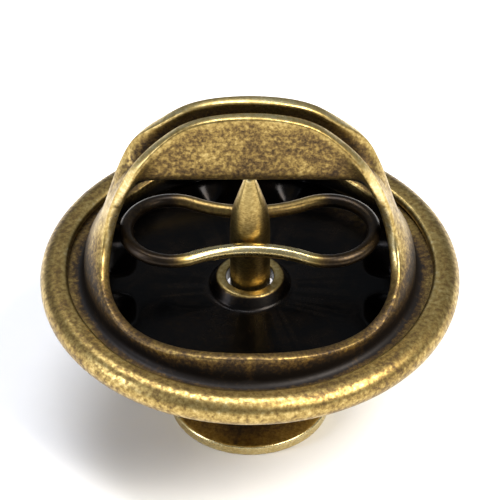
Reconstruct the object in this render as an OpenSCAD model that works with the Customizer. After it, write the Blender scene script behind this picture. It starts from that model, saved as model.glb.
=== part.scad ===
/* [Tack] */
// Diameter of the flat pad that is glued or soldered to an ornament
pad_d = 4.4; // [4:0.1:7]
// Thickness of the pad
pad_t = 0.32; // [0.26:0.02:0.6]
// Diameter of the weld boss round the foot of the post
boss_d = 1.9; // [1.5:0.1:2.4]
// Height of the weld boss above the pad
boss_h = 0.35; // [0.2:0.05:0.6]
// Diameter of the ring that is coined into the pad's underside
ring_d = 2.3; // [1.8:0.1:3]
// Depth of that ring and of the dimple in its middle
ring_depth = 0.08; // [0.04:0.01:0.12]
// Diameter of the post
post_d = 1.1; // [0.9:0.05:1.2]
// Length of the post from the pad's upper face to its point
post_len = 8; // [7:0.5:11]
// Length of the tapered point
point_len = 1.7; // [1:0.1:2.5]
// Diameter of the blunted end of the point
point_d = 0.26; // [0.15:0.01:0.4]

/* [Face plate] */
// Diameter of the round face plate over its rolled rim
plate_d = 11.5; // [10.5:0.1:12.5]
// Thickness of the plate's sheet
plate_t = 0.26; // [0.2:0.02:0.34]
// Width of the rim that is turned over the flange of the cap
hem_w = 0.75; // [0.65:0.05:1.1]
// Diameter of the rounded mouth of the hole, on the side of the prongs
mouth_d = 1.9; // [1.7:0.05:2.2]
// Height of the collar that is drawn inward round the hole
collar_h = 0.35; // [0.2:0.05:0.5]
// Number of prong pairs
prong_pairs = 4; // [3:1:5]
// Width of the square foot of a prong
prong_w = 1.5; // [1.1:0.05:1.7]
// Height of a prong
prong_h = 0.65; // [0.4:0.05:0.9]
// Diameter of the circle that the prongs stand on
prong_ring_d = 8; // [7.4:0.1:8.4]
// Distance between the two prongs of a pair
prong_pitch = 2.1; // [1.8:0.05:2.4]
// Width of the flat left on the tip of a prong
prong_tip = 0.1; // [0.05:0.01:0.2]

/* [Wing cap] */
// Thickness of the cap's sheet
cap_t = 0.32; // [0.24:0.02:0.36]
// Width of the flange that shows between the rolled rim and the wall of the cap
shelf_w = 0.46; // [0.3:0.01:0.6]
// Radius of the bend between the wall and the flange
bend_r = 0.2; // [0.1:0.05:0.3]
// Height of the sill at the corners of the windows, above the flange
sill_h = 0.6; // [0.5:0.05:0.9]
// Extra height of the sill in the middle of each window
sill_rise = 0.32; // [0.1:0.02:0.4]
// Half of the angle that the raised part of the sill takes up
sill_turn = 48; // [36:2:56]
// Height of the crown's channel above the face of the plate
crown_h = 4.7; // [4.4:0.1:5.5]
// Length of the straight part of each finger lip, above its bend
lip_len = 1.9; // [1.4:0.05:2.2]
// Angle that the lips are bent up by
lip_turn = 94; // [75:0.5:95]
// Radius of the bend at the foot of each lip, at the middle of the sheet
lip_bend_r = 0.22; // [0.2:0.01:0.3]
// Distance between the feet of the two lips, at the middle of the sheet
crown_w = 0.96; // [0.9:0.02:1.4]
// Width of the neck of each wing
neck_w = 0.92; // [0.86:0.02:1.2]
// Width of the foot of each wing, where it leaves the sill
foot_w = 6.4; // [5.4:0.1:7]

/* [Spring wire] */
// Diameter of the wire
wire_d = 0.38; // [0.3:0.02:0.46]
// Height of the wire above the face of the plate
wire_h = 2.2; // [1.4:0.05:2.4]
// Radius that each leg is bowed to
leg_bow_r = 3.6; // [3:0.1:8]

/* [Fits] */
// Clearance round the post in the hole of the plate
post_fit = 0.1; // [0.03:0.01:0.1]
// Clearance between the post and each leg of the wire
wire_fit = 0.04; // [0.02:0.01:0.1]
// Clearance between the flange of the cap and the rim turned over it
seat_fit = 0.02; // [0.01:0.005:0.04]
// Clearance between the wire's ends and the wings
wing_fit = 0.08; // [0.05:0.01:0.15]
// Clearance between the point of the post and the crown
point_fit = 0.15; // [0.05:0.05:0.3]

/* [Hidden] */
$fn = 96;

// heights inside the clutch, measured from the face of the plate
flange_z = plate_t + seat_fit;
flange_top = flange_z + cap_t;
rim_h = flange_top + seat_fit + plate_t;
sill_top = flange_top + sill_h;
// height of the plate's face above the underside of the pad, with the crown just off the point
clutch_z = pad_t + post_len + point_fit - (crown_h - cap_t);

hem_end = plate_d / 2 - hem_w;
// radius of the cap's upright wall, at the middle of the sheet
wall_r = hem_end - shelf_w - cap_t / 2;
rim_r = rim_h / 2;
rim_c = plate_d / 2 - rim_r;
slot_r = rim_r - plate_t;
hole_r = post_d / 2 + post_fit;
mouth_r = mouth_d / 2 - hole_r;

// each wing from its foot to the middle of the crown, as hand-chosen shares:
// [x of the wall's radius, height from foot to crown, width from neck to foot,
//  floor width from neck to crown, inward curl of the edges with 1 for the curve of the wall,
//  turn of the lip, length of the lip]
WING = [
    [1.000, 0.000, 1.25, 0.00, 1.00, 0.00, 0.90],
    [1.000, 0.050, 1.00, 0.00, 1.00, 0.00, 0.78],
    [0.996, 0.105, 0.72, 0.00, 1.00, 0.00, 0.62],
    [0.984, 0.165, 0.47, 0.00, 1.10, 0.00, 0.45],
    [0.967, 0.240, 0.26, 0.00, 1.50, 0.00, 0.31],
    [0.942, 0.335, 0.11, 0.00, 3.00, 0.00, 0.22],
    [0.908, 0.450, 0.03, 0.00, 4.50, 0.00, 0.19],
    [0.867, 0.590, 0.00, 0.00, 3.00, 0.04, 0.18],
    [0.823, 0.720, 0.00, 0.02, 1.00, 0.10, 0.19],
    [0.777, 0.830, 0.00, 0.06, 0.00, 0.19, 0.20],
    [0.722, 0.918, 0.00, 0.18, 0.00, 0.35, 0.23],
    [0.660, 0.972, 0.00, 0.48, 0.00, 0.63, 0.28],
    [0.597, 0.994, 0.00, 0.90, 0.00, 0.93, 0.39],
    [0.524, 1.000, 0.00, 1.00, 0.00, 1.00, 0.58],
    [0.424, 1.000, 0.00, 1.00, 0.00, 1.00, 0.79],
    [0.258, 1.000, 0.00, 1.00, 0.00, 1.00, 0.94],
    [0.000, 1.000, 0.00, 1.00, 0.00, 1.00, 1.00]
];

// the wing's foot starts inside the wall, a hair thinner than its outer face
foot_z = flange_top + bend_r + 0.2 * (sill_h - bend_r);
foot_inset = cap_t / 14;
crown_z = crown_h - cap_t / 2;
steps = 2;
floor_cols = 3;
lip_cols = 7;

// a smooth curve through the rows of the table
function mix4(a, b, c, d, t) =
    0.5 * (2 * b + t * (c - a) + t * t * (2 * a - 5 * b + 4 * c - d)
    + t * t * t * (3 * b - a - 3 * c + d));
// the row past the crown's middle is the row before it, on the other wing
function row(i) =
    i < 0 ? 2 * WING[0] - WING[1]
    : i > len(WING) - 1 ? [for (k = [0:6]) (k == 0 ? -1 : 1) * WING[2 * len(WING) - 2 - i][k]]
    : WING[i];
function station(s) =
    let (i = min(floor(s), len(WING) - 2))
    mix4(row(i - 1), row(i), row(i + 1), row(i + 2), s - i);
function path(s) =
    let (a = station(s))
    [a[0] * (wall_r - foot_inset), foot_z + a[1] * (crown_z - foot_z)];
// direction square to the wing's path, outward and up
function lift(s) =
    let (e = 0.02, d = path(min(s + e, len(WING) - 1)) - path(max(s - e, 0)), l = norm(d))
    s > len(WING) - 1.01 ? [0, 1] : [d[1], -d[0]] / l;

// width and rise of a lip at a length d along its bend and straight part
function lip(d, turn) =
    let (g = min(d / lip_bend_r * 180 / PI, turn), rest = d - g * PI / 180 * lip_bend_r)
    [lip_bend_r * sin(g) + rest * cos(turn), lip_bend_r * (1 - cos(g)) + rest * sin(turn)];

// a point of the middle of the sheet: s along the wing, c across it
neck_floor = neck_w / 2 - WING[7][6] * lip_len;
crown_floor = crown_w / 2 - lip_bend_r;
function sheet(s, c) =
    let (
        a = station(s),
        p = path(s),
        n = lift(s),
        turn = max(0, min(1, a[5])) * lip_turn,
        side = sign(c),
        k = abs(c),
        straight = a[6] * lip_len,
        flat = a[2] > 0 ? (neck_w + a[2] * (foot_w - neck_w)) / 2 - straight
            : neck_floor + max(0, a[3]) * (crown_floor - neck_floor),
        d = pow(max(0, k - floor_cols) / lip_cols, 1.6) * (straight + turn * PI / 180 * lip_bend_r),
        bent = lip(d, turn),
        y = flat * min(1, k / floor_cols) + bent[0],
        curl = max(0, a[4]) * (p[0] - sqrt(max(0, p[0] * p[0] - y * y)))
    )
    [p[0] - curl + bent[1] * n[0], side * y, p[1] + bent[1] * n[1]];

last = (len(WING) - 1) * steps;
cols = floor_cols + lip_cols;
function flip(p, f) = [f * p[0], p[1], p[2]];
MID = [for (i = [-last:last]) [for (c = [-cols:cols])
    flip(sheet((last - abs(i)) / steps, c), i < 0 ? -1 : 1)]];
rows_n = len(MID) - 1;
cols_n = len(MID[0]) - 1;
function across(i, j) =
    let (
        du = MID[min(i + 1, rows_n)][j] - MID[max(i - 1, 0)][j],
        dv = MID[i][min(j + 1, cols_n)] - MID[i][max(j - 1, 0)],
        n = cross(du, dv)
    )
    n / norm(n);

module wing_sheet() {
    w = cols_n + 1;
    all = (rows_n + 1) * w;
    top = [for (i = [0:rows_n]) for (j = [0:cols_n]) MID[i][j] + across(i, j) * cap_t / 2];
    low = [for (i = [0:rows_n]) for (j = [0:cols_n]) MID[i][j] - across(i, j) * cap_t / 2];
    faces = [
        for (i = [0:rows_n - 1]) for (j = [0:cols_n - 1])
            each [
                [i * w + j, i * w + j + 1, (i + 1) * w + j + 1],
                [i * w + j, (i + 1) * w + j + 1, (i + 1) * w + j],
                [all + i * w + j, all + (i + 1) * w + j + 1, all + i * w + j + 1],
                [all + i * w + j, all + (i + 1) * w + j, all + (i + 1) * w + j + 1]
            ],
        for (i = [0:rows_n - 1])
            each [
                [i * w, (i + 1) * w, all + (i + 1) * w],
                [i * w, all + (i + 1) * w, all + i * w],
                [i * w + cols_n, all + (i + 1) * w + cols_n, (i + 1) * w + cols_n],
                [i * w + cols_n, all + i * w + cols_n, all + (i + 1) * w + cols_n]
            ],
        for (j = [0:cols_n - 1])
            each [
                [j, all + j, all + j + 1],
                [j, all + j + 1, j + 1],
                [rows_n * w + j, all + rows_n * w + j + 1, all + rows_n * w + j],
                [rows_n * w + j, rows_n * w + j + 1, all + rows_n * w + j + 1]
            ]
    ];
    polyhedron(points = concat(top, low), faces = faces);
}

// points of an arc from angle a to angle b
function arc(c, r, a, b, n = 8) =
    [for (i = [0:n]) let (g = a + (b - a) * i / n) c + r * [cos(g), sin(g)]];

// pad, weld boss and post are soldered into one piece
module tack() {
    edge = pad_t / 3;
    ring_w = 2 * ring_depth;
    color("#b09456")
    rotate_extrude()
    polygon(concat(
        [[0, ring_depth], [ring_depth, ring_depth], [2 * ring_depth, 0]],
        [[ring_d / 2 - ring_w, 0], [ring_d / 2 - ring_depth, ring_depth]],
        [[ring_d / 2 + ring_depth, ring_depth], [ring_d / 2 + ring_w, 0]],
        arc([pad_d / 2 - edge, edge], edge, -90, 0, 5),
        arc([pad_d / 2 - edge, pad_t - edge], edge, 0, 90, 5),
        [[boss_d / 2, pad_t]],
        [[post_d / 2 + (boss_d - post_d) / 8, pad_t + boss_h * 0.6]],
        [[post_d / 2, pad_t + boss_h]],
        [[post_d / 2, pad_t + post_len - point_len]],
        [[post_d / 2 * 0.86, pad_t + post_len - point_len * 0.68]],
        [[point_d / 2, pad_t + post_len - point_d / 4]],
        [[point_d / 4, pad_t + post_len], [0, pad_t + post_len]]
    ));
}

// the rim is rolled over the cap's flange, and the hole is drawn inward
module face_plate() {
    color("#b5975a")
    translate([0, 0, clutch_z])
    difference() {
        union() {
            plate_body();
            at_prongs() prong();
        }
        at_prongs() hollow();
    }
}

module plate_body() {
    rotate_extrude()
    polygon(concat(
        arc([mouth_d / 2, mouth_r], mouth_r, -90, -180, 6),
        [[hole_r, plate_t + collar_h], [hole_r + plate_t, plate_t + collar_h]],
        [[mouth_d / 2 + plate_t, plate_t]],
        arc([rim_c, rim_r], slot_r, -90, 90, 8),
        arc([hem_end + plate_t / 2, rim_h - plate_t / 2], plate_t / 2, 270, 90, 6),
        arc([rim_c, rim_r], rim_r, 90, -90, 12)
    ));
}

module at_prongs() {
    across = sqrt(pow(prong_ring_d, 2) - pow(prong_pitch, 2)) / 2;
    for (p = [0:prong_pairs - 1])
        for (s = [-1, 1])
            rotate([0, 0, 90 + 360 * p / prong_pairs])
            translate([across, s * prong_pitch / 2, 0])
            children();
}

// a four-sided point that stands out of the face, toward the cloth
module prong() {
    sink = plate_t / 2;
    grow = (prong_w - prong_tip) * sink / prong_h;
    rotate([180, 0, 45])
    translate([0, 0, -sink])
    cylinder(h = prong_h + sink, d1 = (prong_w + grow) * sqrt(2), d2 = prong_tip * sqrt(2), $fn = 4);
}

// the dent that the punch leaves behind a prong, with the sheet's thickness kept all round it
module hollow() {
    slope = atan2(prong_h, (prong_w - prong_tip) / 2);
    depth = prong_h + plate_t - plate_t / cos(slope);
    wide = prong_tip + 2 * (depth + seat_fit) / tan(slope);
    rotate([0, 0, 45])
    translate([0, 0, plate_t - depth])
    cylinder(h = depth + seat_fit, d1 = prong_tip * sqrt(2), d2 = wide * sqrt(2), $fn = 4);
}

// flange, wall and sill run all round, and the two wings rise from them to the crown
module wing_cap() {
    bend_c = [wall_r + cap_t / 2 + bend_r, flange_top + bend_r];
    color("#a07c45")
    translate([0, 0, clutch_z])
    resize([0, 0, 0]) {
        rotate_extrude($fn = 60)
        polygon(concat(
            arc([rim_c, rim_r], cap_t / 2, 90, -90, 4),
            arc(bend_c, bend_r + cap_t, 270, 180, 5),
            [[wall_r - cap_t / 2, sill_top], [wall_r + cap_t / 2, sill_top]],
            arc(bend_c, bend_r, 180, 270, 5)
        ));
        wing_sheet();
        for (m = [0, 1])
            mirror([0, m, 0])
            sill_crest();
    }
}

// the sill stands higher in the middle of a window, and leaves the ring's top at a low angle
module sill_crest() {
    n = 28;
    rim_in = wall_r - cap_t / 2 + foot_inset;
    rim_out = wall_r + cap_t / 2 - foot_inset;
    low = sill_top - foot_inset;
    pts = [for (i = [0:n])
        let (
            g = sill_turn * (2 * i / n - 1),
            top = low + (sill_rise + foot_inset) * pow(cos(90 * g / sill_turn), 2)
        )
        each [
            for (q = [[rim_in, foot_z], [rim_out, foot_z], [rim_out, top], [rim_in, top]])
                [q[0] * sin(g), q[0] * cos(g), q[1]]
        ]];
    faces = [
        for (i = [0:n - 1]) for (k = [0:3])
            let (a = 4 * i + k, b = 4 * i + (k + 1) % 4)
            each [[a, a + 4, b + 4], [a, b + 4, b]],
        [0, 1, 2, 3],
        [4 * n + 3, 4 * n + 2, 4 * n + 1, 4 * n]
    ];
    polyhedron(points = pts, faces = faces);
}

// a closed loop, pinched toward the post by its two legs, with round ends against the wings
wire_c = wire_d / 2;
pinch = post_d / 2 + wire_fit + wire_c;
wing_x = lookup(wire_h + wire_c, [for (i = [0:7]) [sheet(i, cols)[2], sheet(i, cols)[0]]]);
reach = wing_x - cap_t / 2 - wing_fit - wire_c;
end_r = (pow(reach, 2) + pow(pinch + leg_bow_r, 2) - pow(leg_bow_r, 2)) / (2 * (reach + leg_bow_r));
end_x = reach - end_r;
leg_turn = atan2(end_x, pinch + leg_bow_r);
function leg(side, n = 18) =
    [for (i = [0:n - 1]) let (g = leg_turn * (2 * i / n - 1))
        side * [leg_bow_r * sin(g), leg_bow_r * cos(g) - pinch - leg_bow_r]];
function round_end(side, n = 16) =
    [for (i = [0:n - 1]) let (g = (90 + leg_turn) * (2 * i / n - 1))
        side * [end_x + end_r * cos(g), end_r * sin(g)]];

module spring_wire() {
    route = concat(leg(1), round_end(1), leg(-1), round_end(-1));
    sides = 12;
    n = len(route);
    pts = [for (i = [0:n - 1])
        let (d = route[(i + 1) % n] - route[(i + n - 1) % n], out = [d[1], -d[0]] / norm(d))
        for (k = [0:sides - 1])
            let (g = 360 * (k + 0.5) / sides, r = wire_c * cos(g))
            [route[i][0] + out[0] * r, route[i][1] + out[1] * r, wire_c * sin(g)]];
    faces = [for (i = [0:n - 1]) for (k = [0:sides - 1])
        let (a = i * sides, b = ((i + 1) % n) * sides, l = (k + 1) % sides)
        each [[a + k, a + l, b + l], [a + k, b + l, b + k]]];
    color("#c9a85c")
    translate([0, 0, clutch_z + wire_h])
    polyhedron(points = pts, faces = faces);
}

tack();
face_plate();
wing_cap();
spring_wire();
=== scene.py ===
import math

import bmesh
import bpy
import numpy as np
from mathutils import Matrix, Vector, geometry, kdtree


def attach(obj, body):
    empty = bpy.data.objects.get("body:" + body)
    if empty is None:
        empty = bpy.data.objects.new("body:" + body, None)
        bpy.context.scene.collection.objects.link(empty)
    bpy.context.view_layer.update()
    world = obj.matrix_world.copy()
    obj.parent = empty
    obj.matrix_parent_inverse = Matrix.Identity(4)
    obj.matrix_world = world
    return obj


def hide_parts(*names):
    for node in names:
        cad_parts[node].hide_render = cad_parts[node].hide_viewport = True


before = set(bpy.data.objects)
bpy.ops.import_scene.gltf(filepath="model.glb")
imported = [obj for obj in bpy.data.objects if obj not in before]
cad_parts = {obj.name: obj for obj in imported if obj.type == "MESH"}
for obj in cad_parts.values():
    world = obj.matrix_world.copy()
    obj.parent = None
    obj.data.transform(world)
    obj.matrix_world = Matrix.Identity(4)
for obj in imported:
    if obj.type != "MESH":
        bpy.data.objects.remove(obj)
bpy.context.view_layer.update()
mm = 0.001
faceLevel = 4.09  # height of the clutch's face above the underside of the pad, in mm


# small helpers

def hexToLinear(code):  # sRGB hex to the linear values that shaders take
    parts = [int(code[i:i + 2], 16) / 255 for i in (1, 3, 5)]
    return tuple(p / 12.92 if p <= 0.04045 else ((p + 0.055) / 1.055) ** 2.4 for p in parts) + (1.0,)


def addNode(tree, kind, settings=None, inputs=None):
    node = tree.nodes.new(kind)
    for key, value in (settings or {}).items():
        if key == "stops":  # colour ramp: (position, hex colour)
            ramp = node.color_ramp
            while len(ramp.elements) < len(value):
                ramp.elements.new(0.5)
            for element, (place, tone) in zip(ramp.elements, value):
                element.position = place
                element.color = hexToLinear(tone)
        else:
            setattr(node, key, value)
    for key, value in (inputs or {}).items():
        if isinstance(value, bpy.types.NodeSocket):
            tree.links.new(value, node.inputs[key])
        else:
            node.inputs[key].default_value = value
    return node


def smooth(low, high, value):  # 0 below low, 1 above high, eased between
    t = np.clip((value - low) / (high - low), 0, 1)
    return t * t * (3 - 2 * t)


def bell(value, middle, width):  # 1 at the middle, fading to 0 about two widths away
    return np.exp(-((value - middle) / width) ** 2)


def softOutline(corners, steps=5):  # rounds each corner (r, z, radius) of an open outline
    mostOfSide = 0.45  # a rounding takes at most this share of the side before it or after it
    points = []
    for i, (r, z, radius) in enumerate(corners):
        here = np.array([r, z], float)
        if i == 0 or i == len(corners) - 1 or radius <= 0:
            points.append(here)
            continue
        before = np.array(corners[i - 1][:2], float) - here
        after = np.array(corners[i + 1][:2], float) - here
        cut = min(radius, mostOfSide * np.linalg.norm(before), mostOfSide * np.linalg.norm(after))
        a = here + before / np.linalg.norm(before) * cut
        b = here + after / np.linalg.norm(after) * cut
        for t in np.linspace(0, 1, steps):
            points.append((1 - t) ** 2 * a + 2 * t * (1 - t) * here + t * t * b)
    return np.array(points)


def arcPoints(centre, radius, start, end, steps):
    angles = np.radians(np.linspace(start, end, steps + 1))
    return np.column_stack([centre[0] + radius * np.cos(angles), centre[1] + radius * np.sin(angles)])


def turnedMesh(outline, count):  # an outline of (r, z) turned round the post's axis, in mm
    turns = np.linspace(0, 2 * math.pi, count, endpoint=False)
    points, faces, rings = [], [], []
    for r, z in outline:
        if r < 1e-6:  # a point on the axis is shared by its whole ring
            rings.append([len(points)] * count)
            points.append((0, 0, z))
        else:
            rings.append(list(range(len(points), len(points) + count)))
            points.extend((r * math.cos(a), r * math.sin(a), z) for a in turns)
    for lower, upper in zip(rings, rings[1:]):
        for j in range(count):
            k = (j + 1) % count
            face = [lower[j], lower[k], upper[k], upper[j]]
            face = [v for n, v in enumerate(face) if v not in face[:n]]
            if len(face) > 2:
                faces.append(face)
    return np.array(points), faces


def makePiece(name, points, faces, tones, material, body, node, weld=False):
    weldReach = 0.0004  # points nearer than this become one, in mm
    mesh = bpy.data.meshes.new(name)
    mesh.from_pydata((np.array(points) * mm).tolist(), [], faces)
    for tone, values in tones.items():  # wear, then black patina with painted shade, then inner black oxide with painted shade, one value a vertex
        limited = np.clip(values, 0, 1).astype(np.float32)
        mesh.attributes.new(tone, "FLOAT", "POINT").data.foreach_set("value", limited)
    build = bmesh.new()
    build.from_mesh(mesh)
    if weld:
        bmesh.ops.remove_doubles(build, verts=build.verts, dist=weldReach * mm)
    bmesh.ops.recalc_face_normals(build, faces=build.faces)
    for face in build.faces:
        face.smooth = True
    build.to_mesh(mesh)
    build.free()
    mesh.materials.append(material)
    piece = bpy.data.objects.new(name, mesh)
    bpy.context.scene.collection.objects.link(piece)
    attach(piece, body)
    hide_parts(node)
    print(f"{name}: {len(mesh.vertices)} vertices, {len(mesh.polygons)} faces")


# finishes

# Brass sheet and wire that were blackened in a bath and then tumbled: black stays in the hollows
# and fine pits, brown on the open faces, and bare gold on the edges that rubbed.
patina = {
    "soot": "#140E0A",
    "umber": "#382A19",
    "brown": "#6A5533",
    "bronze": "#99814B",
    "gold": "#BFA76B",
    "bare": "#E9DDAE",
    "inside": "#090808",  # untouched black on the inner faces that never rubbed, made darker still as painted shade of the deep hollow
    "insideBrown": "#171009",  # where that black is thin
    "rubLift": 0.34,  # how far full wear moves the tone toward bare metal
    "sootDrop": 0.62,  # how far full soot, which also carries painted shade, moves it toward black
    "wornPatches": 0.45,  # share of the patches' strength that is left on rubbed metal
    "dull": 0.5,  # roughness where the metal is sooted
}


def blackenedBrass(name, mottle, speck, level=0.55, speckSize=0.13, mottleSize=1.4,
                   polish=0.27, grain=(1, 1, 1), pitDepth=0.005, swellDepth=0.014):
    # level is the middle tone, mottle and speck say how strong the clouds and the grit are, polish is
    # the roughness of the bare metal, grain makes the grit finer along an axis, and the sizes and
    # depths are in mm
    material = bpy.data.materials.new(name)
    material.use_nodes = True
    tree = material.node_tree
    tree.nodes.clear()
    place = addNode(tree, "ShaderNodeTexCoord")
    inMm = addNode(tree, "ShaderNodeMapping", {}, {
        "Vector": place.outputs["Object"], "Scale": (1 / mm, 1 / mm, 1 / mm)})
    grained = addNode(tree, "ShaderNodeMapping", {}, {"Vector": inMm.outputs[0], "Scale": grain})
    wear = addNode(tree, "ShaderNodeAttribute", {"attribute_name": "wear"})
    soot = addNode(tree, "ShaderNodeAttribute", {"attribute_name": "soot"})
    glaze = addNode(tree, "ShaderNodeAttribute", {"attribute_name": "glaze"})
    # clouds of thinner and thicker black, mottleSize mm across
    cloud = addNode(tree, "ShaderNodeTexNoise", {}, {
        "Vector": inMm.outputs[0], "Scale": 1 / mottleSize, "Detail": 5, "Roughness": 0.6,
        "Distortion": 0.4})
    # black left in the grit marks of the tumbling, speckSize mm across
    grit = addNode(tree, "ShaderNodeTexNoise", {}, {
        "Vector": grained.outputs[0], "Scale": 1 / speckSize, "Detail": 4, "Roughness": 0.65})
    # scuffs of the tumbling stones, drawn 0.5 mm long so that they show
    scuff = addNode(tree, "ShaderNodeTexVoronoi", {"feature": "DISTANCE_TO_EDGE"}, {
        "Vector": inMm.outputs[0], "Scale": 2.1, "Randomness": 1})
    cloudTone = addNode(tree, "ShaderNodeMapRange", {}, {
        "Value": cloud.outputs["Fac"], "From Min": 0.3, "From Max": 0.7,
        "To Min": -mottle, "To Max": mottle})
    gritTone = addNode(tree, "ShaderNodeMapRange", {}, {
        "Value": grit.outputs["Fac"], "From Min": 0.33, "From Max": 0.67,
        "To Min": -speck, "To Max": speck})
    patches = addNode(tree, "ShaderNodeMath", {"operation": "ADD"}, {
        0: cloudTone.outputs[0], 1: gritTone.outputs[0]})
    # the patches fade where the metal is rubbed bare
    calm = addNode(tree, "ShaderNodeMapRange", {}, {
        "Value": wear.outputs["Fac"], "From Min": 0, "From Max": 1,
        "To Min": 1, "To Max": patina["wornPatches"]})
    softPatches = addNode(tree, "ShaderNodeMath", {"operation": "MULTIPLY_ADD"}, {
        0: patches.outputs[0], 1: calm.outputs[0], 2: level})
    rubbed = addNode(tree, "ShaderNodeMath", {"operation": "MULTIPLY_ADD"}, {
        0: wear.outputs["Fac"], 1: patina["rubLift"], 2: softPatches.outputs[0]})
    sooted = addNode(tree, "ShaderNodeMath", {"operation": "MULTIPLY_ADD", "use_clamp": True}, {
        0: soot.outputs["Fac"], 1: -patina["sootDrop"], 2: rubbed.outputs[0]})
    colour = addNode(tree, "ShaderNodeValToRGB", {"stops": [
        (0.0, patina["soot"]), (0.22, patina["umber"]), (0.42, patina["brown"]),
        (0.6, patina["bronze"]), (0.78, patina["gold"]), (1.0, patina["bare"])]},
        {"Fac": sooted.outputs[0]})
    # thin spots of the untouched black, about 1 mm across, browner and less smooth
    thin = addNode(tree, "ShaderNodeTexNoise", {}, {
        "Vector": inMm.outputs[0], "Scale": 1.1, "Detail": 6, "Roughness": 0.7, "Distortion": 0.8})
    thinness = addNode(tree, "ShaderNodeMapRange", {}, {
        "Value": thin.outputs["Fac"], "From Min": 0.45, "From Max": 0.72, "To Min": 0, "To Max": 1})
    black = addNode(tree, "ShaderNodeMix", {"data_type": "RGBA"}, {
        0: thinness.outputs[0], 6: hexToLinear(patina["inside"]), 7: hexToLinear(patina["insideBrown"])})
    # where the inner black is laid, it is black oxide made darker as painted shade of the deep hollow
    finish = addNode(tree, "ShaderNodeMix", {"data_type": "RGBA"}, {
        0: glaze.outputs["Fac"], 6: colour.outputs[0], 7: black.outputs[2]})
    # the black is an oxide, so it reflects less like metal than the rubbed places do
    bareMetal = addNode(tree, "ShaderNodeMapRange", {}, {
        "Value": sooted.outputs[0], "From Min": 0.1, "From Max": 0.5, "To Min": 0.6, "To Max": 1})
    metal = addNode(tree, "ShaderNodeMapRange", {}, {
        "Value": glaze.outputs["Fac"], "From Min": 0, "From Max": 1,
        "To Min": bareMetal.outputs[0], "To Max": 0.85})
    gloss = addNode(tree, "ShaderNodeMapRange", {}, {
        "Value": sooted.outputs[0], "From Min": 0.15, "From Max": 0.95,
        "To Min": patina["dull"], "To Max": polish})
    scuffRough = addNode(tree, "ShaderNodeMapRange", {}, {
        "Value": scuff.outputs["Distance"], "From Min": 0, "From Max": 0.05, "To Min": 0.06, "To Max": 0})
    openRough = addNode(tree, "ShaderNodeMath", {"operation": "ADD"}, {
        0: gloss.outputs[0], 1: scuffRough.outputs[0]})
    blackRough = addNode(tree, "ShaderNodeMapRange", {}, {
        "Value": thin.outputs["Fac"], "From Min": 0.35, "From Max": 0.7, "To Min": 0.17, "To Max": 0.3})
    rough = addNode(tree, "ShaderNodeMapRange", {}, {
        "Value": glaze.outputs["Fac"], "From Min": 0, "From Max": 1,
        "To Min": openRough.outputs[0], "To Max": blackRough.outputs[0]})
    pits = addNode(tree, "ShaderNodeBump", {}, {
        "Height": grit.outputs["Fac"], "Strength": 0.55, "Distance": pitDepth * mm})
    swell = addNode(tree, "ShaderNodeBump", {}, {
        "Height": cloud.outputs["Fac"], "Strength": 0.6, "Distance": swellDepth * mm,
        "Normal": pits.outputs[0]})
    shader = addNode(tree, "ShaderNodeBsdfPrincipled", {}, {
        "Base Color": finish.outputs[2], "Metallic": metal.outputs[0], "Roughness": rough.outputs[0],
        "Normal": swell.outputs[0]})
    addNode(tree, "ShaderNodeOutputMaterial", {}, {"Surface": shader.outputs[0]})
    return material


# pressed from sheet, then tumbled: an even grit on the flat, bright edges
pressedBrass = blackenedBrass("brassPressedBlackenedTumbled", mottle=0.11, speck=0.21)
# drawn deeper than the plate: darker, with stronger clouds of black and a face that is less even
drawnBrass = blackenedBrass("brassDrawnBlackenedTumbled", mottle=0.15, speck=0.21, level=0.53,
                            speckSize=0.11, mottleSize=1.2, swellDepth=0.022)
# drawn wire rubs bare along its top, so it reads as a gold line
wireBrass = blackenedBrass("brassWireBlackenedRubbed", mottle=0.1, speck=0.1, level=0.66,
                           speckSize=0.09, polish=0.22, pitDepth=0.002, swellDepth=0.01)
# turned post and stamped pad: fine marks round the post, smoother than the sheet
tackBrass = blackenedBrass("brassTurnedBlackenedTumbled", mottle=0.14, speck=0.14, level=0.57,
                           speckSize=0.1, grain=(1, 1, 2.4), polish=0.24, pitDepth=0.0035)
print("finishes made")


# tack: pad, weld boss and post

tack = {
    "padRadius": 2.2,
    "padThickness": 0.32,
    "padEdge": 0.1,
    "bossRadius": 0.95,
    "bossHeight": 0.35,
    "bossFlare": 0.1,  # the solder runs out this far round the boss
    "ringRadius": 1.15,  # ring coined into the underside of the pad
    "ringDepth": 0.08,
    "postRadius": 0.55,
    "postLength": 8.0,
    "pointLength": 1.7,
    "pointRadius": 0.13,
    "turnCount": 128,  # steps of the mesh round the axis
    "edgeWear": 0.95,
    "pointWear": 0.5,
    "ringSoot": 0.75,
    "cornerSoot": 0.6,
    "padSoot": 0.42,
    "bossSoot": 0.3,
}


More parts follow.
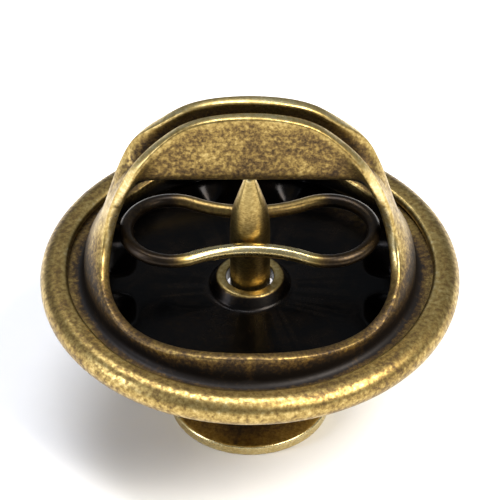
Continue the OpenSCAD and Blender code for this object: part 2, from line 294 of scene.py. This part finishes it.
def makeTack(t):
    top = t["padThickness"]
    tip = top + t["postLength"]
    deep, ring, post = t["ringDepth"], t["ringRadius"], t["postRadius"]
    # half widths of the coined dimple and ring, at their bottom and at the pad's face
    bottom, slope = deep * 0.8, deep * 2
    # from the dimple under the pad, over its edge and the boss, to the point: r, z and rounding
    outline = softOutline([
        (0, deep, 0), (bottom, deep, 0.04), (slope, 0, 0.06),
        (ring - slope, 0, 0.06), (ring - bottom, deep, 0.05),
        (ring + bottom, deep, 0.05), (ring + slope, 0, 0.06),
        (t["padRadius"], 0, t["padEdge"]), (t["padRadius"], top, t["padEdge"]),
        (t["bossRadius"] + t["bossFlare"], top, 0.06), (t["bossRadius"] - 0.2, top + 0.12, 0.16),
        (post + 0.06, top + t["bossHeight"] * 0.75, 0.1), (post, top + t["bossHeight"], 0.1),
        (post, tip - t["pointLength"], 0.4), (post * 0.86, tip - t["pointLength"] * 0.68, 0.4),
        (t["pointRadius"], tip - t["pointRadius"] / 2, 0.12), (0, tip, 0)], steps=7)
    points, faces = turnedMesh(outline, t["turnCount"])
    radius = np.hypot(points[:, 0], points[:, 1])
    turn = np.arctan2(points[:, 1], points[:, 0])
    z = points[:, 2]
    # solder runs out unevenly round the post's foot
    onBoss = smooth(top + 0.01, top + 0.08, z) * (1 - smooth(top + 0.3, top + 0.5, z))
    swell = 1 + onBoss * (0.035 * np.sin(3 * turn + 0.7) + 0.02 * np.sin(7 * turn + 2))
    points[:, 0] *= swell
    points[:, 1] *= swell
    edge = bell(radius, t["padRadius"] - 0.02, 0.07)
    point = smooth(tip - 1.5, tip - 0.1, z)
    inRing = bell(radius, ring, 0.12) * (z < deep * 1.2)
    inCorner = bell(radius, t["bossRadius"] + 0.05, 0.12) * (z > top - 0.05) * (z < top + 0.1)
    onPad = (z > top - 0.02) * (z < top + 0.02) * (radius < t["padRadius"] - 0.1)
    makePiece("tackWithPost", points, faces, {
        "wear": t["edgeWear"] * edge + t["pointWear"] * point,
        "soot": (t["ringSoot"] * inRing + t["cornerSoot"] * inCorner + t["padSoot"] * onPad
                 + t["bossSoot"] * onBoss),
        "glaze": 0 * z}, tackBrass, "tack", "tack")


makeTack(tack)


# face plate: disc with pressed prongs, rolled rim and drawn collar

facePlate = {
    "radius": 11.5 / 2,
    "sheet": 0.26,
    "rimHeight": 0.88,
    "hemWidth": 0.75,
    "mouthRadius": 0.95,
    "holeRadius": 0.65,
    "collarHeight": 0.35,
    "collarFoot": 0.12,  # the collar's foot runs out this far past the mouth's sheet
    "prongHalf": 0.75,
    "prongHeight": 0.65,
    "prongRing": 4.0,  # radius of the circle that the prongs stand on
    "prongPitch": 2.1,
    "prongPinch": 0.26,  # how far the sides of a prong are drawn in between its corners
    "dentHalf": 0.65,
    "dentDepth": 0.5,
    "patchHalf": 1.0,  # half of the square of fine mesh round a prong
    "patchCells": 26,
    "rimCount": 288,
    "collarCount": 96,
    # marks of the crimping tool: angle in degrees, depth in mm and width in degrees
    "crimpMarks": [(118, 0.11, 4.0), (131, 0.13, 3.2)],
    "rimWear": 0.1,
    "hemWear": 0.5,
    "footSoot": 0.75,  # black in the crease round a prong
}


def prongPlaces(p):
    far = math.sqrt(p["prongRing"] ** 2 - (p["prongPitch"] / 2) ** 2)
    near = p["prongPitch"] / 2
    return [(a * x, b * y) for x, y in ((far, near), (near, far)) for a in (-1, 1) for b in (-1, 1)]


def prongShape(p, dx, dy):  # 1 at the tip, 0 at the foot, and below 0 outside it
    big, small = np.maximum(abs(dx), abs(dy)), np.minimum(abs(dx), abs(dy))
    return 1 - (big + p["prongPinch"] * (big - small)) / p["prongHalf"], big - small


def patchFade(p, dx, dy):  # 1 on a prong and round it, 0 at the edge of its fine mesh
    return 1 - smooth(p["patchHalf"] * 0.8, p["patchHalf"] * 0.98, np.maximum(abs(dx), abs(dy)))


def pressedDisc(p, inner, outer, innerCount, outerCount, rise):
    # one sheet of triangles between two circles, fine where the prongs are
    spots, ties = [], []
    for radius, count in ((outer, outerCount), (inner, innerCount)):
        for a in np.linspace(0, 2 * math.pi, count, endpoint=False):
            spots.append((radius * math.cos(a), radius * math.sin(a)))
    n = p["patchCells"]
    line = np.linspace(-p["patchHalf"], p["patchHalf"], n + 1)
    for cx, cy in prongPlaces(p):
        first = len(spots)
        spots.extend((cx + x, cy + y) for x in line for y in line)
        for i in range(n):  # ridges run through the corners of the cells
            ties.append((first + i * (n + 1) + i, first + (i + 1) * (n + 1) + i + 1))
            ties.append((first + i * (n + 1) + n - i, first + (i + 1) * (n + 1) + n - i - 1))
    flat = geometry.delaunay_2d_cdt([Vector(s) for s in spots], ties, [], 0, 1e-6)
    xy = np.array([tuple(v) for v in flat[0]])
    faces = []
    for face in flat[2]:
        middle = xy[list(face)].mean(0)
        if np.hypot(*middle) > inner:
            faces.append(list(face))
    z, wear, soot = rise(p, xy[:, 0], xy[:, 1])
    return np.column_stack([xy, z]), faces, wear, soot


def outerRise(p, x, y):  # height, wear and soot of the outer face
    footRound = 0.05  # softens the crease at a prong's foot, in mm
    tipShare = 0.975  # the tip is flattened at this share of the height
    drawnIn = 0.035  # the face is drawn in this far round a prong, in mm
    z = np.zeros(len(x))
    wear, soot = np.zeros(len(x)), np.zeros(len(x))
    for cx, cy in prongPlaces(p):
        dx, dy = x - cx, y - cy
        shape, ridge = prongShape(p, dx, dy)
        fade = patchFade(p, dx, dy)
        raw = p["prongHeight"] * shape
        height = 0.5 * (raw + np.sqrt(raw ** 2 + footRound ** 2))
        height = np.minimum(height, p["prongHeight"] * tipShare)
        dip = drawnIn * bell(shape, -0.22, 0.16)
        z -= fade * (height - dip)
        onProng = (fade > 0) * smooth(0.02, 0.2, shape)
        wear += onProng * (0.85 + 0.15 * bell(ridge, 0, 0.07)) * (0.7 + 0.3 * shape.clip(0, 1))
        soot += fade * p["footSoot"] * bell(shape, -0.04, 0.1)
    return z, wear, soot


def innerRise(p, x, y):  # the same for the inner face, where the punch left soft-cornered dents
    roundLoss = 0.94  # makes up for the depth that the dent's rounding takes
    z = np.full(len(x), p["sheet"])
    wear, soot = np.zeros(len(x)), np.zeros(len(x))
    for cx, cy in prongPlaces(p):
        dx, dy = x - cx, y - cy
        far = ((abs(dx) ** 3 + abs(dy) ** 3) ** (1 / 3)) / p["dentHalf"]
        z -= patchFade(p, dx, dy) * p["dentDepth"] * (1 - smooth(-0.15, 1.25, far)) / roundLoss
        soot += 1 - smooth(0.8, 1.15, far)
    return z, wear, soot


def crimpShift(p, turn):  # the rolled edge wanders a little and keeps the marks of the crimping tool
    shift = 0.012 * np.sin(5 * turn + 0.4) + 0.009 * np.sin(11 * turn + 1.9)
    for angle, depth, width in p["crimpMarks"]:
        gap = (np.degrees(turn) - angle + 180) % 360 - 180
        shift += depth * (1 - smooth(width * 0.35, width * 0.6, abs(gap)))
    return shift


def makeFacePlate(p):
    sheet, rimRadius = p["sheet"], p["rimHeight"] / 2
    rimCentre = p["radius"] - rimRadius
    slot = rimRadius - sheet
    hemEnd = p["radius"] - p["hemWidth"] + sheet / 2
    rim = np.vstack([
        arcPoints((rimCentre, rimRadius), rimRadius, -90, 90, 26),
        [[(rimCentre + hemEnd) / 2, p["rimHeight"] - 0.004]],
        arcPoints((hemEnd, p["rimHeight"] - sheet / 2), sheet / 2, 90, 270, 12),
        arcPoints((rimCentre, rimRadius), slot, 90, -90, 10)])
    rimPoints, rimFaces = turnedMesh(rim, p["rimCount"])
    turn = np.arctan2(rimPoints[:, 1], rimPoints[:, 0])
    radius = np.hypot(rimPoints[:, 0], rimPoints[:, 1])
    z = rimPoints[:, 2]
    onHem = (1 - smooth(hemEnd - 0.02, hemEnd + 0.22, radius)) * (z > 0.55)
    grow = 1 + onHem * crimpShift(p, turn) / radius
    rimPoints[:, 0] *= grow
    rimPoints[:, 1] *= grow
    crest = smooth(rimCentre - 0.06, rimCentre + 0.39, radius)  # the top of the roll and its outer side
    hidden = 0.9 * (z > 0.27) * (z < 0.61) * (radius < rimCentre + slot + 0.01)
    rimWear = p["rimWear"] * crest + p["hemWear"] * bell(radius, hemEnd - 0.06, 0.07) * (z > 0.7)

    hole, mouth, collarTop = p["holeRadius"], p["mouthRadius"], sheet + p["collarHeight"]
    collarEnd = mouth + sheet + p["collarFoot"]
    bore = np.vstack([
        arcPoints((mouth, mouth - hole), mouth - hole, -90, -180, 10),
        softOutline([
            (hole, 0.4, 0), (hole, collarTop, 0.05), (hole + sheet, collarTop, 0.07),
            (mouth + sheet - 0.08, sheet, 0.16), (collarEnd, sheet, 0)])])
    borePoints, boreFaces = turnedMesh(bore, p["collarCount"])
    boreFaces = [face[::-1] for face in boreFaces]
    boreZ = borePoints[:, 2]
    boreRadius = np.hypot(borePoints[:, 0], borePoints[:, 1])
    lip = bell(boreZ, collarTop, 0.05)
    boreWear = 0.5 * lip + 0.25 * (1 - smooth(0.0, 0.06, boreZ)) * (boreRadius < 1)
    boreSoot = smooth(0.06, 0.3, boreZ) * (1 - lip)
    # inside the bore: black oxide made darker as painted shade of the hole
    boreOxideAndShade = 0.85 * smooth(0.1, 0.3, boreZ) * (1 - 0.8 * lip)

    counts = (p["collarCount"], p["rimCount"])
    frontPoints, frontFaces, frontWear, frontSoot = pressedDisc(p, mouth, rimCentre, *counts, outerRise)
    backPoints, backFaces, backWear, backSoot = pressedDisc(p, collarEnd, rimCentre, *counts, innerRise)
    points = np.vstack([rimPoints, borePoints, frontPoints, backPoints])
    points[:, 2] += faceLevel
    faces, start = [], 0
    for part, add in ((rimPoints, rimFaces), (borePoints, boreFaces),
                      (frontPoints, frontFaces), (backPoints, backFaces)):
        faces.extend([v + start for v in face] for face in add)
        start += len(part)
    makePiece("facePlateWithProngs", points, faces, {
        "wear": np.concatenate([rimWear, boreWear, frontWear, backWear]),
        # the whole inner face is black oxide, made darker as painted shade of the closed-in hollow
        "soot": np.concatenate([hidden, boreSoot, frontSoot, 0.5 + 0.5 * backSoot]),
        "glaze": np.concatenate([hidden, boreOxideAndShade, 0 * frontSoot, 1 + 0 * backSoot]),
    }, pressedBrass, "clutch", "face_plate", weld=True)


makeFacePlate(facePlate)


# wing cap: one drawn sheet of flange, wall, two wings and the two finger lips

wingCap = {
    "sheet": 0.32,
    "edgeRound": 0.08,
    "flangeRadius": 5.47,
    "flangeLevel": 0.44,  # middle of the flange's sheet above the face of the plate
    "flangeRings": (5.2, 5.0, 4.87),  # rings of the mesh between the flange's edge and its bend
    "wallRadius": 4.38,
    "wallRings": 4,
    "bendRadius": 0.36,
    "sillTop": 1.2,
    "sillRise": 0.32,  # the sill stands this much higher in the middle of a window
    "sillTurn": 48.0,
    "footLevel": 0.88,
    "crownLevel": 4.54,
    "lipLength": 1.9,
    "lipTurn": 94.0,
    "lipBend": 0.22,
    "crownWidth": 0.96,
    "neckWidth": 0.92,
    "footWidth": 6.4,
    "rowsPerStep": 8,
    "floorColumns": 5,
    "lipColumns": 17,
    "sillColumns": 44,
    "nickHalf": 0.05,  # half width of a small upright mark in the middle of the near sill
    "nickLow": 0.75,
    "nickHigh": 1.6,
    "nickDepth": 0.03,
    "nickWear": 0.7,
    "edgeWear": 0.95,
    "borderWear": 0.5,
    "neckWear": 0.3,
    # footSoot: black patina in the crease at the wall's foot, with painted shade there too
    "footSoot": 0.95,
    "wallSoot": 0.24,
    "sillSoot": 0.32,
    "channelSoot": 0.3,
}
# from a wing's foot to the middle of the crown: x as a share of the wall's radius, height, width,
# width of the channel's floor, inward curl of the edges, turn of the lip and length of the lip
wingRows = np.array([
    [1.000, 0.000, 1.25, 0.00, 1.00, 0.00, 0.90],
    [1.000, 0.050, 1.00, 0.00, 1.00, 0.00, 0.78],
    [0.996, 0.105, 0.72, 0.00, 1.00, 0.00, 0.62],
    [0.984, 0.165, 0.47, 0.00, 1.10, 0.00, 0.45],
    [0.967, 0.240, 0.26, 0.00, 1.50, 0.00, 0.31],
    [0.942, 0.335, 0.11, 0.00, 3.00, 0.00, 0.22],
    [0.908, 0.450, 0.03, 0.00, 4.50, 0.00, 0.19],
    [0.867, 0.590, 0.00, 0.00, 3.00, 0.04, 0.18],
    [0.823, 0.720, 0.00, 0.02, 1.00, 0.10, 0.19],
    [0.777, 0.830, 0.00, 0.06, 0.00, 0.19, 0.20],
    [0.722, 0.918, 0.00, 0.18, 0.00, 0.35, 0.23],
    [0.660, 0.972, 0.00, 0.48, 0.00, 0.63, 0.28],
    [0.597, 0.994, 0.00, 0.90, 0.00, 0.93, 0.39],
    [0.524, 1.000, 0.00, 1.00, 0.00, 1.00, 0.58],
    [0.424, 1.000, 0.00, 1.00, 0.00, 1.00, 0.79],
    [0.258, 1.000, 0.00, 1.00, 0.00, 1.00, 0.94],
    [0.000, 1.000, 0.00, 1.00, 0.00, 1.00, 1.00]])
lastRow = len(wingRows) - 1
neckRow = 7  # the wing is narrowest here


def wingRow(i):
    if i < 0:
        return 2 * wingRows[0] - wingRows[1]
    if i > lastRow:
        return wingRows[2 * lastRow - i] * np.array([-1, 1, 1, 1, 1, 1, 1])
    return wingRows[i]


def wingStation(s):
    # a curve through the rows at the foot, eased past them higher up so that it has no kinks
    easeFrom, easeTo = 1.5, 4
    i = min(int(math.floor(s)), lastRow - 1)
    t = s - i
    a, b, c, d = (wingRow(i + k) for k in (-1, 0, 1, 2))
    through = 0.5 * (2 * b + t * (c - a) + t * t * (2 * a - 5 * b + 4 * c - d)
                     + t ** 3 * (3 * b - a - 3 * c + d))
    eased = ((1 - t) ** 3 * a + (3 * t ** 3 - 6 * t * t + 4) * b
             + (3 * t + 3 * t * t - 3 * t ** 3 + 1) * c + t ** 3 * d) / 6
    share = smooth(easeFrom, easeTo, s)
    return (1 - share) * through + share * eased


def wingPath(w, s):
    row = wingStation(s)
    climb = w["crownLevel"] - w["footLevel"]
    return np.array([row[0] * w["wallRadius"], w["footLevel"] + row[1] * climb])


def wingPoint(w, s, c):
    # c runs from -1 to 1 over the channel's floor, and on to -2 and 2 at the lips' edges
    _, _, width, floor, curl, turn, length = wingStation(s)
    x, z = wingPath(w, s)
    if s > lastRow - 0.01:
        out = np.array([0.0, 1.0])
    else:
        d = wingPath(w, min(s + 0.02, lastRow)) - wingPath(w, s - 0.02)
        out = np.array([d[1], -d[0]]) / np.linalg.norm(d)
    turn = math.radians(w["lipTurn"]) * min(max(turn, 0), 1)
    straight = length * w["lipLength"]
    neckFloor = w["neckWidth"] / 2 - wingRows[neckRow][-1] * w["lipLength"]
    crownFloor = w["crownWidth"] / 2 - w["lipBend"]
    if width > 0:
        flat = (w["neckWidth"] + width * (w["footWidth"] - w["neckWidth"])) / 2 - straight
    else:
        flat = neckFloor + max(0, floor) * (crownFloor - neckFloor)
    # the power sets the points close together at the bend
    along = max(0, abs(c) - 1) ** 1.4 * (straight + turn * w["lipBend"] - w["edgeRound"])
    bent = min(along / w["lipBend"], turn)
    rest = along - bent * w["lipBend"]
    side = w["lipBend"] * math.sin(bent) + rest * math.cos(turn)
    rise = w["lipBend"] * (1 - math.cos(bent)) + rest * math.sin(turn)
    y = flat * min(1, abs(c)) + side
    inward = max(0, curl) * (x - math.sqrt(max(0, x ** 2 - y * y)))
    return np.array([x - inward + rise * out[0], math.copysign(y, c), z + rise * out[1]])


def capMiddle(w):  # the middle of the sheet as one grid of four-sided faces
    sill = w["sillTop"] - w["edgeRound"]
    low, high = 0.0, 5.0  # the wing passes the sill's top between these rows
    for _ in range(40):
        half = (low + high) / 2
        low, high = (half, high) if wingPath(w, half)[1] < sill else (low, half)
    start = low
    lips = 1 + np.linspace(0, 1, w["lipColumns"] + 1)[1:]
    floor = np.linspace(0, 1, w["floorColumns"] + 1)[1:]
    across = np.concatenate([-lips[::-1], -floor[::-1], [0], floor, lips])
    footY = np.array([wingPoint(w, start, c)[1] for c in across])
    wingTurns = np.arcsin(np.clip(footY / w["wallRadius"], -1, 1))
    gap = np.linspace(wingTurns[-1], math.pi - wingTurns[-1], w["sillColumns"] + 1)[1:-1]
    turns = np.concatenate([wingTurns, gap, wingTurns + math.pi, gap + math.pi])
    level, bend, wall = w["flangeLevel"], w["bendRadius"], w["wallRadius"]
    bendTop = level + bend
    profile = np.vstack([
        [[r, level] for r in (w["flangeRadius"] - w["edgeRound"], *w["flangeRings"])],
        arcPoints((wall + bend, bendTop), bend, 270, 180, 9),
        [[wall, z] for z in np.linspace(bendTop, sill, w["wallRings"] + 1)[1:]]])
    count, n = len(turns), len(across)
    fromMiddle = abs(np.degrees(turns) % 180 - 90)
    crest = w["sillRise"] * np.cos(np.radians(np.minimum(fromMiddle / w["sillTurn"], 1) * 90)) ** 2
    points = [(r * math.cos(a), r * math.sin(a), z + up * max(0, z - bendTop) / (sill - bendTop))
              for r, z in profile for a, up in zip(turns, crest)]
    faces = []
    for i in range(len(profile) - 1):
        for j in range(count):
            k = (j + 1) % count
            faces.append([i * count + j, i * count + k, (i + 1) * count + k, (i + 1) * count + j])
    topRow = (len(profile) - 1) * count
    steps = int(round((lastRow - start) * w["rowsPerStep"]))
    climb = np.linspace(start, lastRow, steps + 1)
    rows = [[topRow + j for j in range(n)]]
    for side, stations in ((1, climb[1:]), (-1, climb[::-1][1:-1])):
        for s in stations:
            rows.append(list(range(len(points), len(points) + n)))
            for c in across:
                x, y, z = wingPoint(w, s, c)
                points.append((side * x, y, z))
    second = topRow + n + len(gap)
    rows.append([second + n - 1 - j for j in range(n)])
    for lower, upper in zip(rows, rows[1:]):
        for j in range(n - 1):
            faces.append([lower[j], lower[j + 1], upper[j + 1], upper[j]])
    return np.array(points), faces


def thickSheet(points, faces, thickness, edgeRound):
    # both faces of the sheet, joined round its edges by a burnished, softly squared edge
    edgeAngles = (66, 44, 20, 0, -20, -44, -66)
    squareness = 0.7  # 1 would give a round edge
    quads = np.array(faces)
    p = points[quads]
    faceNormals = np.cross(p[:, 2] - p[:, 0], p[:, 3] - p[:, 1])
    normals = np.zeros_like(points)
    for k in range(4):
        np.add.at(normals, quads[:, k], faceNormals)
    normals /= np.linalg.norm(normals, axis=1)[:, None]
    ways = {}
    for face in faces:
        for a, b in zip(face, face[1:] + face[:1]):
            ways[(a, b)] = True
    border = [(a, b) for a, b in ways if (b, a) not in ways]
    outward = np.zeros_like(points)
    for a, b in border:
        way = np.cross(points[b] - points[a], normals[a] + normals[b])
        way /= np.linalg.norm(way)
        outward[a] += way
        outward[b] += way
    count = len(points)
    made = [points + normals * thickness / 2, points - normals * thickness / 2]
    newFaces = [list(f) for f in faces] + [[v + count for v in f[::-1]] for f in faces]
    ends = sorted({v for edge in border for v in edge})
    strips = {v: [v] for v in ends}
    extra, side = [], [np.ones(count), -np.ones(count)]
    for angle in edgeAngles:
        up, out = math.sin(math.radians(angle)), math.cos(math.radians(angle))
        up = math.copysign(abs(up) ** squareness, up)
        for v in ends:
            way = outward[v] / np.linalg.norm(outward[v])
            strips[v].append(2 * count + len(extra))
            extra.append(points[v] + normals[v] * up * thickness / 2 + way * out ** squareness * edgeRound)
        side.append(np.full(len(ends), up))
    for v in ends:
        strips[v].append(v + count)
    for a, b in border:
        for k in range(len(strips[a]) - 1):
            newFaces.append([strips[b][k], strips[a][k], strips[a][k + 1], strips[b][k + 1]])
    middles = list(range(count)) * 2 + ends * len(edgeAngles)
    return np.vstack(made + [np.array(extra)]), newFaces, np.concatenate(side), np.array(middles), ends


def makeWingCap(w):
    middle, quads = capMiddle(w)
    points, faces, side, middles, ends = thickSheet(middle, quads, w["sheet"], w["edgeRound"])
    # gaps holds how far each point is from the edge of a window or lip, without the flange's own edge
    footRadius, flangeFrom, flangeEdge = 4.6, 4.7, 5.0
    edgeEnds = [v for v in ends if np.hypot(*middle[v][:2]) < flangeEdge]
    tree = kdtree.KDTree(len(edgeEnds))
    for i, v in enumerate(edgeEnds):
        tree.insert(middle[v], i)
    tree.balance()
    gaps = np.array([tree.find(v)[2] for v in middle])[middles]
    radius = np.hypot(points[:, 0], points[:, 1])
    z = points[:, 2]
    crown = w["crownLevel"]
    onEdge = 1 - smooth(0.55, 0.95, abs(side))
    outer = smooth(-0.2, 0.4, side)
    nearEdge = bell(gaps, 0, 0.15)
    lips = smooth(crown - 0.12, crown + 0.1, z)
    channel = outer * smooth(crown - 0.5, crown, z)
    high = 0.12 + 0.88 * smooth(1.5, 2.3, z)  # the sill is rubbed less than the wings
    nick = (abs(points[:, 0]) < w["nickHalf"]) * (points[:, 1] < 0)
    nick = nick * (z > w["nickLow"]) * (z < w["nickHigh"])
    wear = np.maximum(w["edgeWear"] * onEdge * (gaps < 0.01), w["borderWear"] * nearEdge) * (z > 0.7) * high
    neck = outer * smooth(1.4, 2.2, z) * (1 - smooth(3.9, 4.4, z))  # fingers rub the necks of the wings
    wear = np.maximum(wear, w["neckWear"] * neck) + w["nickWear"] * nick * outer
    # black patina lies at the wall's foot and on the sill and thins out up the wings; at the wall's foot
    # and on the flange it is also painted shade
    foot = bell(radius, footRadius, 0.12) * (1 - smooth(0.75, 1.1, z))
    low = (1 - smooth(1.0, 2.7, z)) * (1 - 0.2 * smooth(flangeFrom, flangeFrom + 0.15, radius))
    sill = (1 - smooth(1.35, 2.0, z)) * (radius < flangeFrom)
    soot = outer * (w["footSoot"] * foot + w["wallSoot"] * low * (1 - nearEdge))
    soot += w["channelSoot"] * channel * (1 - nearEdge)
    soot += w["sillSoot"] * sill * smooth(-1.1, -0.3, side)
    soot += 0.1 * (1 - outer) * lips
    # the inner faces below the lips are black oxide made darker as painted shade of the deep hollow
    glaze = (1 - outer) * (1 - lips) * (1 - 0.7 * nearEdge) * (1 - onEdge)
    points[:, 1] += w["nickDepth"] * nick * outer
    points[:, 2] += faceLevel
    makePiece("wingCapDrawn", points, faces, {"wear": wear, "soot": soot, "glaze": glaze},
              drawnBrass, "clutch", "wing_cap")


makeWingCap(wingCap)


# spring wire: a closed loop, pinched toward the post

springWire = {
    "radius": 0.19,
    "level": 2.2,
    "pinch": 0.78,  # from the post's axis to the middle of each leg
    "bow": 3.6,
    "reach": 3.39,
    "sides": 18,
    "legSteps": 54,
    "endSteps": 44,
    "farShade": 0.45,  # painted shade: the far leg is made this much darker, as if in shadow
    # painted shade on the round ends: how dark they are made, and how far toward the inner black
    "endShade": 0.75,
    "endShadeBlack": 0.6,
}


def makeSpringWire(w):
    pinch, bow, reach = w["pinch"], w["bow"], w["reach"]
    endRadius = (reach ** 2 + (pinch + bow) ** 2 - bow ** 2) / (2 * (reach + bow))
    endX = reach - endRadius
    turn = math.atan2(endX, pinch + bow)
    route = []
    for side in (1, -1):
        for i in range(w["legSteps"]):
            g = turn * (2 * i / w["legSteps"] - 1)
            route.append((side * bow * math.sin(g), side * (bow * math.cos(g) - pinch - bow)))
        for i in range(w["endSteps"]):
            g = (math.pi / 2 + turn) * (2 * i / w["endSteps"] - 1)
            route.append((side * (endX + endRadius * math.cos(g)), side * endRadius * math.sin(g)))
    route = np.array(route)
    n, sides = len(route), w["sides"]
    points, faces, topWear = [], [], []
    for i in range(n):
        d = route[(i + 1) % n] - route[i - 1]
        out = np.array([d[1], -d[0]]) / np.linalg.norm(d)
        for k in range(sides):
            a = 2 * math.pi * k / sides
            r = w["radius"] * math.cos(a)
            points.append((route[i][0] + out[0] * r, route[i][1] + out[1] * r,
                           faceLevel + w["level"] + w["radius"] * math.sin(a)))
            topWear.append(0.35 + 0.35 * math.sin(a))
            faces.append([i * sides + k, i * sides + (k + 1) % sides,
                          (i + 1) % n * sides + (k + 1) % sides, (i + 1) % n * sides + k])
    points = np.array(points)
    ends = smooth(1.5, 2.3, abs(points[:, 0]))  # painted shade: the round ends, beyond the legs, are darkened as if in shadow
    # painted shade on the far leg, darker from y -0.1 mm outward as if in shadow
    far = w["farShade"] * smooth(-0.1, 0.5, points[:, 1])
    makePiece("springWireLoop", points, faces, {
        "wear": np.array(topWear) * (1 - 0.8 * np.maximum(ends, far)),
        "soot": np.maximum(w["endShade"] * ends, far),
        "glaze": w["endShadeBlack"] * ends}, wireBrass, "clutch", "spring_wire")


makeSpringWire(springWire)
print("all four pieces made")


# studio: pale floor, soft boxes and the camera

studio = {
    "elevation": 41.0,
    "lens": 790,
    "distance": 0.3,  # from the camera to its aim, in metres
    "aim": (0, 0, 5.6),  # in mm
    "floorSize": 0.6,
    "floor": "#F2F1EF",
    "floorFibres": "#F6F5F3",
    "sky": "#AEB4BC",
    "skyStrength": 0.55,
    # name, place in metres, width and height in metres, watts and colour
    "softBoxes": [
        ("softBoxKey", (0.16, -0.1, 0.24), (0.16, 0.16), 1.5, "#FFFAF2"),
        ("softBoxOver", (-0.05, 0.05, 0.3), (0.12, 0.2), 0.8, "#F4F7FF"),
        ("softBoxLeft", (-0.24, -0.08, 0.1), (0.06, 0.16), 0.35, "#EAF0FF"),
    ],
    "softBoxAim": (0, 0, 0.006),  # in metres
}


def makeFloor(s):
    build = bmesh.new()
    bmesh.ops.create_grid(build, x_segments=8, y_segments=8, size=s["floorSize"])
    mesh = bpy.data.meshes.new("studioFloor")
    build.to_mesh(mesh)
    build.free()
    floor = bpy.data.objects.new("studioFloor", mesh)
    bpy.context.scene.collection.objects.link(floor)
    material = bpy.data.materials.new("paperPale")
    material.use_nodes = True
    tree = material.node_tree
    tree.nodes.clear()
    place = addNode(tree, "ShaderNodeTexCoord")
    fibres = addNode(tree, "ShaderNodeTexNoise", {}, {
        "Vector": place.outputs["Object"], "Scale": 900, "Detail": 4})
    tone = addNode(tree, "ShaderNodeMix", {"data_type": "RGBA"}, {
        0: fibres.outputs["Fac"], 6: hexToLinear(s["floor"]), 7: hexToLinear(s["floorFibres"])})
    shader = addNode(tree, "ShaderNodeBsdfPrincipled", {}, {
        "Base Color": tone.outputs[2], "Roughness": 0.85})
    addNode(tree, "ShaderNodeOutputMaterial", {}, {"Surface": shader.outputs[0]})
    mesh.materials.append(material)


def softBox(name, place, aim, size, power, colour):
    light = bpy.data.lights.new(name, "AREA")
    light.shape = "RECTANGLE"
    light.size, light.size_y = size
    light.energy = power
    light.color = hexToLinear(colour)[:3]
    lamp = bpy.data.objects.new(name, light)
    bpy.context.scene.collection.objects.link(lamp)
    lamp.location = place
    lamp.visible_camera = False
    lamp.rotation_euler = (Vector(aim) - Vector(place)).to_track_quat("-Z", "Y").to_euler()


def makeStudio(s):
    makeFloor(s)
    for name, place, size, power, colour in s["softBoxes"]:
        softBox(name, place, s["softBoxAim"], size, power, colour)
    world = bpy.data.worlds.new("studioRoom")
    bpy.context.scene.world = world
    world.use_nodes = True
    world.node_tree.nodes.clear()
    room = addNode(world.node_tree, "ShaderNodeBackground", {}, {
        "Color": hexToLinear(s["sky"]), "Strength": s["skyStrength"]})
    addNode(world.node_tree, "ShaderNodeOutputWorld", {}, {"Surface": room.outputs[0]})
    view = bpy.data.cameras.new("camera")
    view.lens = s["lens"]
    view.sensor_width = 36
    view.clip_start = 0.001
    view.clip_end = 10
    camera = bpy.data.objects.new("camera", view)
    bpy.context.scene.collection.objects.link(camera)
    aim = Vector(s["aim"]) * mm
    lift = math.radians(s["elevation"])
    camera.location = aim + s["distance"] * Vector((0, -math.cos(lift), math.sin(lift)))
    camera.rotation_euler = (aim - camera.location).to_track_quat("-Z", "Y").to_euler()
    bpy.context.scene.camera = camera
    bpy.context.scene.view_settings.view_transform = "Standard"


makeStudio(studio)
print("studio made")
